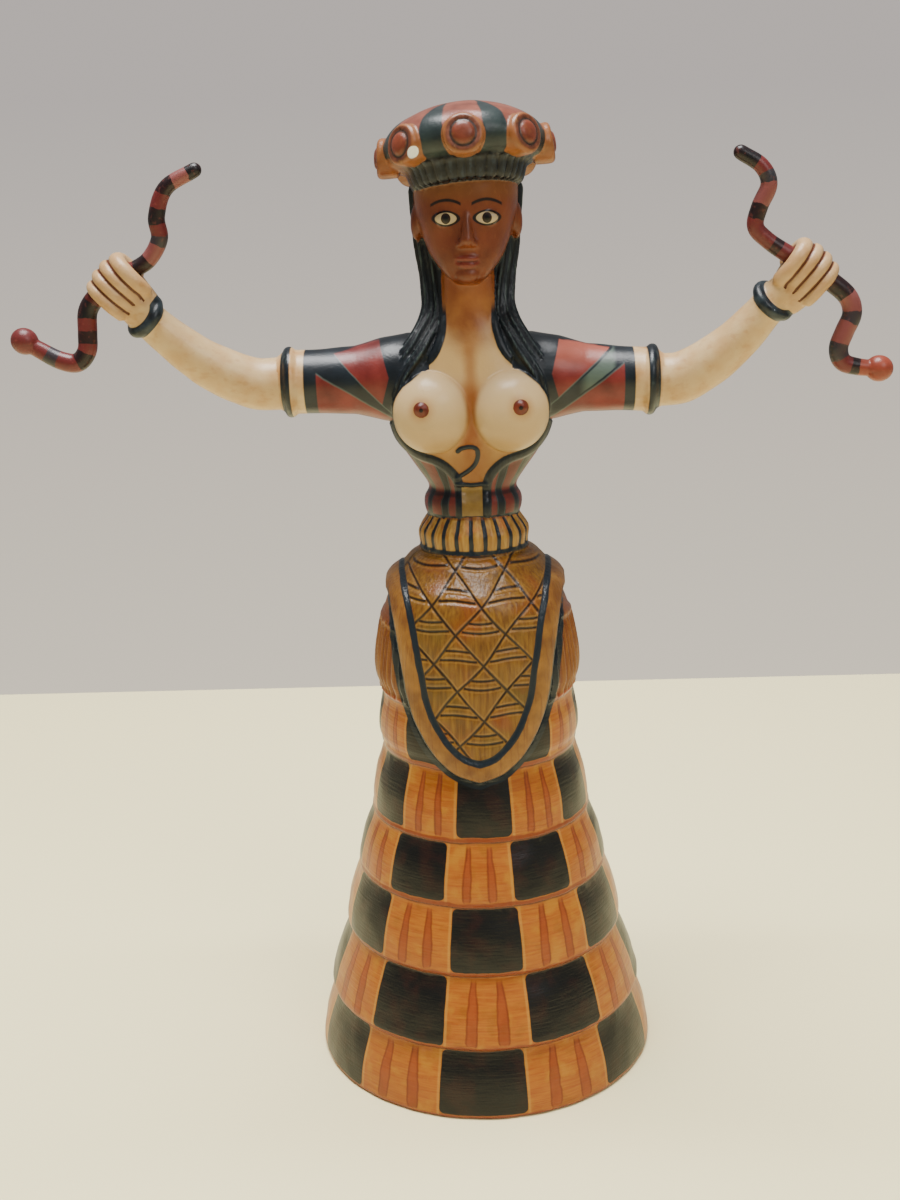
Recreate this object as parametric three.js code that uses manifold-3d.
// Snake goddess figurine: a painted plaster cast, with a separate snake through each fist.
// Millimetres, +Z up. The origin is the middle of the hem's flat underside, and the figure faces -Y.
import * as THREE from 'three';
import { mergeVertices } from 'three/addons/utils/BufferGeometryUtils.js';
import Module from 'manifold-3d';

const wasm = await Module();
wasm.setup();

// Driving sizes. The figure is drawn on a height of 295 parts, so its forms keep to its height.
const height = 295;
const part = height / 295;

// Skirt: seven flounces, each with an overhanging lip, from the hem up.
const skirtSides = 30;
const hemRadius = 54 * part;
const lipHeights = scaled([0, 21, 42.6, 63.3, 82.2, 103.5, 121.5]);
const lipRadii = [hemRadius, ...scaled([50.2, 44.3, 39.4, 34.3, 30.7, 30.5])];
const tuckRadii = scaled([49.2, 43.6, 39.5, 34.5, 30.3, 30]); // just under the next lip
const flounceSwell = 0.9 * part;
const swellPlace = 0.3; // share of the flounce's height
const lipRounding = 0.7 * part;
const hips = scaledRows([[129, 32], [140, 31.3], [147, 29.8], [155, 27], [163, 22.5], [168, 17], [172, 12]]);

// Apron panels, front and back: the half outline as width and height, and the surface they lie on.
const apronTop = 169 * part;
const apronOutline = scaledRows([
  [0, 100.2], [7, 102.4], [12, 106.3], [16.4, 111.9], [19.8, 118.7],
  [21.8, 125], [23, 132], [24.2, 140], [25.4, 148], [27.6, 157],
]);
const apronSurface = scaledRows([
  [97, 33.8], [104, 33.3], [115, 33.6], [137, 32.9], [147, 31.9], [155, 29.5], [163, 24.9], [169, 18],
]);
const apronDepth = 42 * part;
const apronBorder = 5.2 * part;
const apronRecess = 0.6 * part;
const apronOverlap = 0.5 * part; // past the middle at the sides, where the two panels meet

// Belt: a fluted ruff over the hips.
const beltFlutes = 24;
const fluteDepth = 0.9 * part;
const beltProfile = scaledRows([[166, 16], [169.5, 16.9], [173.5, 15.4], [177, 13.6]]);

// Body, from the bodice hem to the neck: height, half width, half depth, forward shift.
const bodySides = 18;
const bodyLevels = scaledRows([
  [175, 13.4, 12, 0], [178, 14.4, 12.8, 0], [180.5, 14.7, 13, 0], [183, 14.2, 12.4, 0],
  [184.5, 13.3, 11.2, 0], [187, 14.1, 11.3, -0.2], [192, 17.6, 12, -0.6], [198, 21.4, 12.8, -1.1],
  [204, 23.6, 13.3, -1.6], [211, 24.2, 13.4, -1.8], [219, 23.2, 12.6, -1.6], [226, 19.5, 11, -1],
  [231, 14.2, 9.6, -0.4], [236, 9.6, 8.6, -0.2], [242, 7.9, 8, -0.6], [252, 7.6, 8, -1.2],
]);
const breastCentre = scaled([11.4, -11.5, 208.5]);
const breastRadii = scaled([11.6, 10.6, 12]);
const nippleRadii = scaled([1.5, 1.5, 1.5]);
const nippleRise = 1.5 * part;
const nippleSpread = 1.12; // over the breast centres' half distance

// Head: an egg whose face has plain thirds from the hairline to the chin.
const headSides = 18;
const chinHeight = 245 * part;
const faceThird = 10.3 * part;
const headLevels = scaledRows([
  [244.8, 2.6, 2.4, -9.4], [246.4, 5.4, 5.6, -8], [249.5, 8.3, 9.4, -5], [254, 11, 12, -2.5],
  [259.5, 13.2, 13.6, -0.8], [265.5, 14.6, 14.2, 0], [272, 14.8, 14.2, 0.2], [280, 13, 13.2, 0.4],
]);
const faceFront = -14.4 * part;
const noseRise = scaled([-0.6, 1.2]); // in front of the face at the brow and near the tip
const noseRadii = scaled([1.1, 1.9]);
const noseTip = 2 * part;
const mouthDrop = 0.36; // share of a third
const mouthRadii = scaled([3.4, 1.9, 1.5]);
const mouthDepth = 0.9 * part;
const chinRadii = scaled([3.6, 2.6, 2.6]);
const chinDepth = 2 * part;
const earCentre = scaled([15, 0.5, 262]);
const earRadii = scaled([2, 2.8, 5]);

// Hat: a low dome with a fringe under it and round bosses about its edge, tipped back and to one side.
const hatSides = 20;
const hatTilt = [-10, -3.7, 0]; // degrees about X and Y
const hatPivot = scaled([0, 0, 280.6]);
const hatProfile = scaledRows([
  [270.4, 15.4], [275.4, 18.2], [277.4, 22], [280.6, 23.6],
  [284, 23.2], [287.6, 20.4], [291.2, 14], [293.8, 6.5],
]);
const bossCount = 8;
const bossRadius = 6.4 * part;
const bossLift = 2 * part;
const bossSeat = 23 * part;
const bossLean = 6; // degrees above level
const buttonRadius = 3.8 * part;
const buttonLift = 1 * part;
const discTaper = 0.9; // face over base

// Hair: two locks over each shoulder, and a row of longer ones down the back over the nape.
const lockRadius = 2.4 * part;
const lockSplay = scaled([2.7, 1.7, 1.5]); // from one lock of a pair to the other
const lockTaper = [1, 1, 1, 0.8];
const lockLine = scaledRows([
  [12.8, 3, 270], [11.6, 2.5, 256], [9.9, 0.5, 243], [10.2, -2.5, 235], [14.6, -8, 227.5], [21.5, -11.5, 217],
]);
const backLocks = 3;
const backLockRadius = 4.4 * part;
const backLockPitch = 6.2 * part;
const backRounding = 0.2; // forward for each step sideways
const backLine = scaledRows([[11, 272], [12, 258], [9.5, 242], [11.2, 224], [11.5, 198]]);
const napeCentre = scaled([0, 4.5, 257]);
const napeRadii = scaled([11, 9, 21]);

// Arms, for the image left and then the right: sleeve, bare arm, fist, snake above and below the grip.
const sleeveRadii = scaled([12.5, 13.3, 12.2, 10, 9.5, 9.3]);
const armRadii = scaled([7.5, 7.7, 7.5, 6.9, 6, 4.9]);
const cuffRadius = 10.5 * part;
const cuffWidth = 3.6 * part;
const braceletRadius = 7 * part;
const braceletWidth = 3.2 * part;
const braceletTilt = 25 * Math.PI / 180;
const braceletSetback = 2.6 * part; // from the arm's end
const arms = [
  {
    side: -1,
    sleeve: scaledRows([[-10, 0.5, 217.4], [-30, -0.8, 217.2], [-55, -3, 217.3]]),
    bare: scaledRows([
      [-48, -2.6, 217.2], [-57, -3.2, 217], [-64.2, -4.4, 217.6], [-74.5, -6.6, 222.5], [-83.5, -8.6, 229.2],
      [-95, -10.7, 240],
    ]),
    fist: scaled([-99.7, -11, 246.9]),
    reach: [-0.7, 0, 0.71],
    snake: scaledRows([
      [-75.9, -10.6, 278.3], [-84.1, -11.4, 273.7], [-87.3, -11.6, 266], [-87, -11.2, 260],
      [-90.5, -11, 254.3], [-95.5, -11, 251.2], [-100.5, -11, 248.1], [-106, -11, 244.6],
      [-109.3, -11, 240.2], [-109.9, -11.2, 234], [-110.5, -11.4, 229], [-113.6, -11.4, 225.7],
      [-118.6, -11.2, 226.5], [-124.3, -11, 229.6], [-128.4, -11, 232.2],
    ]),
  },
  {
    side: 1,
    sleeve: scaledRows([[10, 0.5, 217], [30, -0.8, 216.4], [55, -3, 215.3]]),
    bare: scaledRows([
      [48, -2.6, 215.5], [57, -3.2, 215.2], [63, -4.4, 216.2], [71.6, -6.6, 221.6], [79.2, -8.6, 228.6],
      [88.7, -10.7, 239.8],
    ]),
    fist: scaled([96, -11, 245.6]),
    reach: [0.64, 0, 0.77],
    snake: scaledRows([
      [76.8, -10.6, 278.8], [82.5, -11.4, 275], [84.7, -11.6, 270], [82.3, -11.4, 264],
      [81.3, -11.2, 258.6], [85, -11, 254.6], [90.6, -11, 250.8], [97, -11, 246.8],
      [103.4, -11, 242.6], [108.2, -11, 238.3], [109.5, -11.2, 233.6], [107.5, -11.4, 228.6],
      [106, -11.4, 224], [107.4, -11.2, 220], [112, -11, 218.4], [118, -11, 217.8],
    ]),
  },
];

// Fists: four fingers closed over the snake, with their tips on the palm.
const fingerPitch = 3.4 * part;
const fingerRadii = scaled([2.5, 2.15, 2.05, 1.95]);
const fingerSet = scaled([-1, 0, 0, -0.7]);
const fingerBend = scaledRows([[0.5, -4.2], [5, -3.2], [6, 0.6], [3.2, 4], [-1.6, 4.5], [-5.2, 3.2]]);
const palmLine = scaledRows([[0, -8.5, 0], [0, -3, 0], [0, 2.2, 0]]);
const palmRadii = scaled([4.6, 5.4, 5.2]);
const palmSpread = 1.3; // width over depth
const fingertip = 0.85; // over the finger's radius

// Snakes: their thickness, and the clearance of the holes through the fists.
const snakeWidth = 5.6;
const tailWidth = 3.6;
const snakeNeckWidth = 4.6;
const snakeHeadWidth = 6.8;
const snakeHeadLength = 8.4;
const gripClearance = 0.35;

// Sides, then rows or steps, of the rounded forms.
const facets = {
  breast: [14, 8], nipple: [6, 4], nose: [6, 2], mouth: [8, 4], chin: [8, 4], ear: [6, 4],
  nape: [10, 8], lock: [6, 6], sleeve: [12, 4], arm: [10, 6], finger: [6, 6], palm: [10, 4, 2],
  snake: [8, 24], snakeHead: [8, 6],
};
const bossSides = 9;
const buttonSides = 7;
const cuffSides = 12;
const braceletSides = 10;

const plaster = new THREE.MeshStandardMaterial({ color: 0xc68a3c, roughness: 0.45, metalness: 0 });
const brickRed = new THREE.MeshStandardMaterial({ color: 0x9b3a34, roughness: 0.45, metalness: 0 });

function scaled(values) {
  return values.map((value) => value * height / 295);
}

function scaledRows(rows) {
  return rows.map(scaled);
}

// A closed three.js geometry as a solid, with its seams merged and its faces turned outwards.
function solid(geometry) {
  const bare = geometry.clone();
  bare.deleteAttribute('normal');
  bare.deleteAttribute('uv');
  const merged = mergeVertices(bare, 1e-3);
  const points = merged.attributes.position;
  const corner = (i) => new THREE.Vector3().fromBufferAttribute(points, i);
  const faces = [];
  let volume = 0;
  for (let i = 0; i < merged.index.count; i += 3) {
    const [a, b, c] = [0, 1, 2].map((k) => merged.index.getX(i + k));
    if (a === b || b === c || c === a) continue;
    faces.push([a, b, c]);
    volume += corner(a).dot(corner(b).cross(corner(c)));
  }
  if (volume < 0) faces.forEach((face) => face.reverse());
  return new wasm.Manifold(new wasm.Mesh({
    numProp: 3,
    vertProperties: new Float32Array(points.array),
    triVerts: new Uint32Array(faces.flat()),
  }));
}

function joined(solids) {
  return solids.reduce((whole, piece) => whole.add(piece));
}

function meshOf(name, body, material) {
  const { vertProperties, triVerts } = body.getMesh();
  const geometry = new THREE.BufferGeometry();
  geometry.setAttribute('position', new THREE.BufferAttribute(vertProperties, 3));
  geometry.setIndex(new THREE.BufferAttribute(triVerts, 1));
  geometry.computeVertexNormals();
  const mesh = new THREE.Mesh(geometry, material);
  mesh.name = name;
  return mesh;
}

// A turned form about the Z axis, from rows of height and radius.
function turned(rows, sides) {
  const profile = rows.map(([z, r]) => new THREE.Vector2(r, z));
  const closed = [new THREE.Vector2(0, rows[0][0]), ...profile, new THREE.Vector2(0, rows.at(-1)[0])];
  return new THREE.LatheGeometry(closed, sides).rotateX(Math.PI / 2);
}

// A stack of ovals, from rows of height, half width, half depth and shift along Y.
function stacked(rows, sides) {
  const last = rows.length - 1;
  const geometry = new THREE.CylinderGeometry(1, 1, 1, sides, last);
  const points = geometry.attributes.position;
  for (let i = 0; i < points.count; i += 1) {
    const [z, halfWidth, halfDepth, shift] = rows[Math.round((points.getY(i) + 0.5) * last)];
    points.setXYZ(i, points.getX(i) * halfWidth, points.getZ(i) * halfDepth + shift, z);
  }
  return geometry;
}

function ball(centre, radii, [sides, rows]) {
  return new THREE.SphereGeometry(1, sides, rows).rotateX(Math.PI / 2).scale(...radii).translate(...centre);
}

// A round limb along a smooth line through the points, with rounded ends.
function limb(points, radii, [sides, steps, endRows = 1]) {
  const line = new THREE.CatmullRomCurve3(points.map((point) => new THREE.Vector3(...point)));
  const frames = line.computeFrenetFrames(steps);
  const geometry = new THREE.CapsuleGeometry(1, steps, endRows, sides, steps);
  const place = geometry.attributes.position;
  for (let i = 0; i < place.count; i += 1) {
    const y = place.getY(i) + steps / 2;
    const step = Math.round(Math.min(Math.max(y, 0), steps));
    const radius = radiusAt(radii, step / steps);
    const at = line.getPointAt(step / steps)
      .addScaledVector(frames.normals[step], place.getX(i) * radius)
      .addScaledVector(frames.binormals[step], place.getZ(i) * radius)
      .addScaledVector(frames.tangents[step], (y - Math.min(Math.max(y, 0), steps)) * radius);
    place.setXYZ(i, at.x, at.y, at.z);
  }
  return geometry;
}

function radiusAt(radii, share) {
  const place = share * (radii.length - 1);
  const before = Math.min(Math.floor(place), radii.length - 2);
  return THREE.MathUtils.lerp(radii[before], radii[before + 1], place - before);
}

// A short round disc standing on a point, facing along a direction.
function disc(centre, facing, radius, length, sides) {
  const turn = new THREE.Quaternion().setFromUnitVectors(new THREE.Vector3(0, 1, 0), facing);
  const face = new THREE.CylinderGeometry(radius * discTaper, radius, length, sides);
  return face.applyQuaternion(turn).translate(...centre);
}

function skirt() {
  const rows = [];
  lipHeights.forEach((z, tier) => {
    const lip = lipRadii[tier];
    rows.push([z, lip - lipRounding]);
    rows.push([z + lipRounding, lip]);
    if (tier === lipHeights.length - 1) return;
    const top = lipHeights[tier + 1];
    const swollen = THREE.MathUtils.lerp(lip, tuckRadii[tier], swellPlace) + flounceSwell;
    rows.push([THREE.MathUtils.lerp(z, top, swellPlace), swollen]);
    rows.push([top, tuckRadii[tier]]);
  });
  return solid(turned([...rows, ...hips], skirtSides));
}

// A flat plate with the apron's outline, drawn in by an inset, standing upright on the -Y side.
function apronPlate(inset) {
  const edge = new THREE.SplineCurve(apronOutline.map(([x, z]) => new THREE.Vector2(x, z)));
  const right = edge.points.map(({ x, y }, i) => {
    const run = edge.getTangent(i / (edge.points.length - 1));
    return new THREE.Vector2(Math.max(x - inset * run.y, 0), y + inset * run.x);
  });
  const left = right.slice(1).map(({ x, y }) => new THREE.Vector2(-x, y)).reverse();
  const top = [new THREE.Vector2(right.at(-1).x, apronTop), new THREE.Vector2(-right.at(-1).x, apronTop)];
  const outline = new THREE.Shape([...left, ...right, ...top]);
  const plate = new THREE.ExtrudeGeometry(outline, { depth: apronDepth, bevelEnabled: false });
  return plate.rotateX(Math.PI / 2).translate(0, apronOverlap, 0);
}

// Both aprons: the outline cut from a turned skin over the skirt, with a field sunk inside the border.
function aprons() {
  const skin = solid(turned(apronSurface, skirtSides));
  const sunk = solid(turned(apronSurface.map(([z, r]) => [z, r - apronRecess]), skirtSides));
  const panel = skin.intersect(solid(apronPlate(0)));
  const field = solid(apronPlate(apronBorder)).subtract(sunk);
  const front = panel.subtract(field);
  return front.add(front.rotate([0, 0, 180]));
}

// A turned ring, with every other side's edge sunk as a groove.
function belt() {
  const geometry = turned(beltProfile, 2 * beltFlutes);
  const points = geometry.attributes.position;
  for (let i = 0; i < points.count; i += 1) {
    const [x, y, z] = [points.getX(i), points.getY(i), points.getZ(i)];
    const radius = Math.hypot(x, y);
    const edge = Math.round(Math.atan2(y, x) / Math.PI * beltFlutes);
    const share = edge % 2 === 0 || radius < fluteDepth ? 1 : 1 - fluteDepth / radius;
    points.setXYZ(i, x * share, y * share, z);
  }
  return solid(geometry);
}

function torso() {
  const [x, y, z] = breastCentre;
  const breasts = [-x, x].flatMap((centre) => [
    ball([centre, y, z], breastRadii, facets.breast),
    ball([centre * nippleSpread, y - breastRadii[1], z + nippleRise], nippleRadii, facets.nipple),
  ]);
  return joined([stacked(bodyLevels, bodySides), ...breasts].map(solid));
}

// Plain features on even thirds: brow line, nose to its base, then the mouth halfway to the chin.
function head() {
  const browHeight = chinHeight + 2 * faceThird;
  const noseBase = chinHeight + faceThird;
  const bridge = [0, faceFront - noseRise[0], browHeight];
  const tip = [0, faceFront - noseRise[1], noseBase + noseTip];
  const nose = limb([bridge, tip], noseRadii, facets.nose);
  const lips = [0, faceFront + mouthDepth, noseBase - mouthDrop * faceThird];
  const mouth = ball(lips, mouthRadii, facets.mouth);
  const chin = ball([0, faceFront + chinDepth, chinHeight + chinRadii[2]], chinRadii, facets.chin);
  const [x, y, z] = earCentre;
  const ears = [-x, x].map((side) => ball([side, y, z], earRadii, facets.ear));
  return joined([stacked(headLevels, headSides), nose, mouth, chin, ...ears].map(solid));
}

function hat() {
  const trims = [];
  const lean = bossLean * Math.PI / 180;
  for (let k = 0; k < bossCount; k += 1) {
    const turn = (k / bossCount - 0.25) * 2 * Math.PI;
    const facing = new THREE.Vector3(Math.cos(turn), Math.sin(turn), Math.sin(lean)).normalize();
    const seat = new THREE.Vector3(Math.cos(turn) * bossSeat, Math.sin(turn) * bossSeat, hatPivot[2]);
    const boss = seat.clone().addScaledVector(facing, -bossLift / 2);
    const button = seat.clone().addScaledVector(facing, bossLift);
    trims.push(disc(boss, facing, bossRadius, 3 * bossLift, bossSides));
    trims.push(disc(button, facing, buttonRadius, 2 * buttonLift, buttonSides));
  }
  const whole = joined([turned(hatProfile, hatSides), ...trims].map(solid));
  const tipped = whole.translate(hatPivot.map((value) => -value)).rotate(hatTilt);
  return tipped.translate([0, 0, height - tipped.boundingBox().max[2]]);
}

function hair() {
  const lock = (points, radius) => limb(points, lockTaper.map((share) => share * radius), facets.lock);
  const locks = [ball(napeCentre, napeRadii, facets.nape)];
  for (const side of [-1, 1]) {
    for (const k of [-0.5, 0.5]) {
      const [across, forward, up] = lockSplay.map((step) => step * k);
      locks.push(lock(lockLine.map(([x, y, z]) => [side * (x + across), y + forward, z + up]), lockRadius));
    }
  }
  for (let k = 0; k < backLocks; k += 1) {
    const x = (k - (backLocks - 1) / 2) * backLockPitch;
    locks.push(lock(backLine.map(([y, z]) => [x, y - Math.abs(x) * backRounding, z]), backLockRadius));
  }
  return joined(locks.map(solid));
}

// A round ring about a point, facing along a direction.
function ring(centre, facing, radius, width, sides) {
  const turn = new THREE.Quaternion().setFromUnitVectors(new THREE.Vector3(0, 0, 1), facing);
  const torus = new THREE.TorusGeometry(radius - width / 2, width / 2, 4, sides);
  return torus.applyQuaternion(turn).translate(...centre);
}

function cuff({ sleeve }) {
  const end = new THREE.Vector3(...sleeve.at(-1));
  const facing = end.clone().sub(new THREE.Vector3(...sleeve.at(-2))).normalize();
  return ring(end.addScaledVector(facing, -cuffWidth / 2), facing, cuffRadius, cuffWidth, cuffSides);
}

function bracelet({ bare }) {
  const wrist = new THREE.Vector3(...bare.at(-1));
  const facing = wrist.clone().sub(new THREE.Vector3(...bare.at(-2))).normalize();
  const centre = wrist.addScaledVector(facing, -braceletSetback);
  facing.multiplyScalar(Math.cos(braceletTilt));
  facing.y -= Math.sin(braceletTilt);
  return ring(centre, facing.normalize(), braceletRadius, braceletWidth, braceletSides);
}

// Four fingers closed on a palm, in a frame of the snake's run, the reach and the palm's front.
function fist({ side, fist: centre, reach }) {
  const up = new THREE.Vector3(...reach).normalize();
  const front = new THREE.Vector3(0, -1, 0);
  const across = new THREE.Vector3().crossVectors(up, front);
  const frame = new THREE.Matrix4().makeBasis(across, up, front).setPosition(...centre);
  const fingers = fingerRadii.map((radius, k) => {
    const along = side * (k - (fingerRadii.length - 1) / 2) * fingerPitch;
    const points = fingerBend.map(([out, lift]) => [along, out + fingerSet[k], lift]);
    return limb(points, [radius, radius, radius * fingertip], facets.finger);
  });
  const palm = limb(palmLine, palmRadii, facets.palm).scale(palmSpread, 1, 1);
  return [...fingers, palm].map((piece) => piece.applyMatrix4(frame));
}

// The snake's body, or the hole for it when a clearance is added.
function snakeBody({ snake }, clearance) {
  const tail = [tailWidth, snakeNeckWidth, snakeNeckWidth];
  const widths = [...tail, snakeWidth, snakeWidth, snakeWidth, snakeNeckWidth];
  return solid(limb(snake, widths.map((width) => width / 2 + clearance), facets.snake));
}

function snake(arm) {
  const end = new THREE.Vector3(...arm.snake.at(-1));
  const facing = end.clone().sub(new THREE.Vector3(...arm.snake.at(-2))).normalize();
  const turn = new THREE.Quaternion().setFromUnitVectors(new THREE.Vector3(0, 0, 1), facing);
  const radii = [snakeHeadWidth / 2, snakeHeadWidth / 2, snakeHeadLength / 2];
  const head = ball([0, 0, 0], radii, facets.snakeHead).applyQuaternion(turn).translate(...end);
  return snakeBody(arm, 0).add(solid(head));
}

function armAndFist(arm) {
  const sleeve = limb(arm.sleeve, sleeveRadii, facets.sleeve);
  const bare = limb(arm.bare, armRadii, facets.arm);
  const whole = joined([sleeve, cuff(arm), bare, bracelet(arm), ...fist(arm)].map(solid));
  return whole.subtract(snakeBody(arm, gripClearance));
}

const group = new THREE.Group();
const figure = joined([skirt(), aprons(), belt(), torso(), head(), hat(), hair(), ...arms.map(armAndFist)]);
group.add(meshOf('figurine', figure, plaster));
arms.forEach((arm) => group.add(meshOf(arm.side < 0 ? 'snake_left' : 'snake_right', snake(arm), brickRed)));

export default group;
